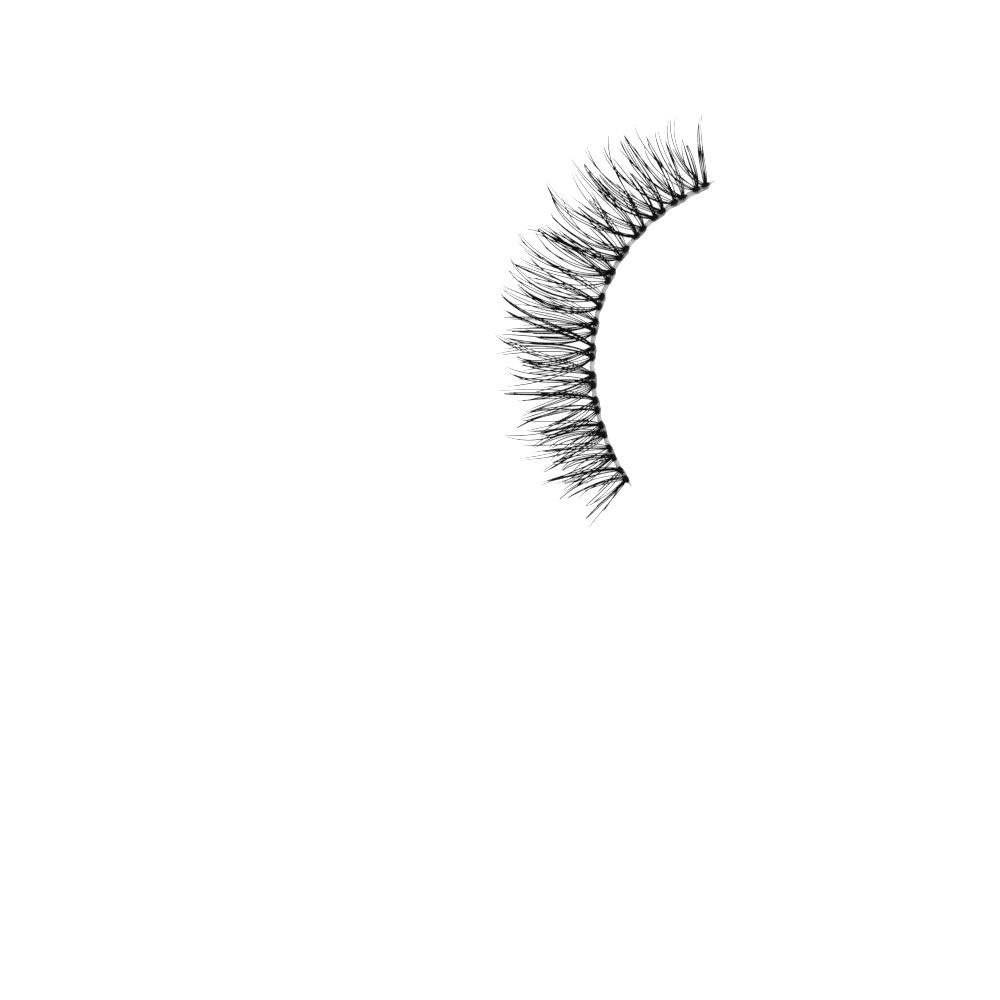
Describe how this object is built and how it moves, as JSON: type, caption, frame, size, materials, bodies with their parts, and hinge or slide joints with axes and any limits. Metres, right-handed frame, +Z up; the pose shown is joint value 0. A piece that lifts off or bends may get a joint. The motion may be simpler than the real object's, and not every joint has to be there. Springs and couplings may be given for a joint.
{
  "type": "false eyelash strip",
  "caption": "Curved clear band with a fringe of knotted, crossing black lash tufts that curl up, worn glued along an upper eyelid.",
  "frame": {"origin": "middle of the band's flat underside", "axes": "+X along the band to the eye's inner corner, the lashes point to -Y, +Z up from the surface it lies on"},
  "size_m": [0.0389, 0.0163, 0.0043],
  "materials": {
    "band": "clear flexible plastic with dried glue",
    "fibre": "heat-set black polyester hair with a soft sheen"
  },
  "bodies": {
    "root": {"band": "band", "tuft_01": "fibre", "tuft_02": "fibre", "tuft_03": "fibre", "tuft_04": "fibre", "tuft_05": "fibre", "tuft_06": "fibre", "tuft_07": "fibre", "tuft_08": "fibre", "tuft_09": "fibre", "tuft_10": "fibre", "tuft_11": "fibre", "tuft_12": "fibre", "tuft_13": "fibre", "tuft_14": "fibre", "tuft_15": "fibre", "tuft_16": "fibre", "tuft_17": "fibre", "tuft_18": "fibre", "tuft_19": "fibre", "tuft_20": "fibre", "tuft_21": "fibre", "tuft_22": "fibre", "tuft_23": "fibre", "tuft_24": "fibre", "tuft_25": "fibre", "tuft_26": "fibre", "tuft_27": "fibre", "tuft_28": "fibre"}
  },
  "joints": []
}
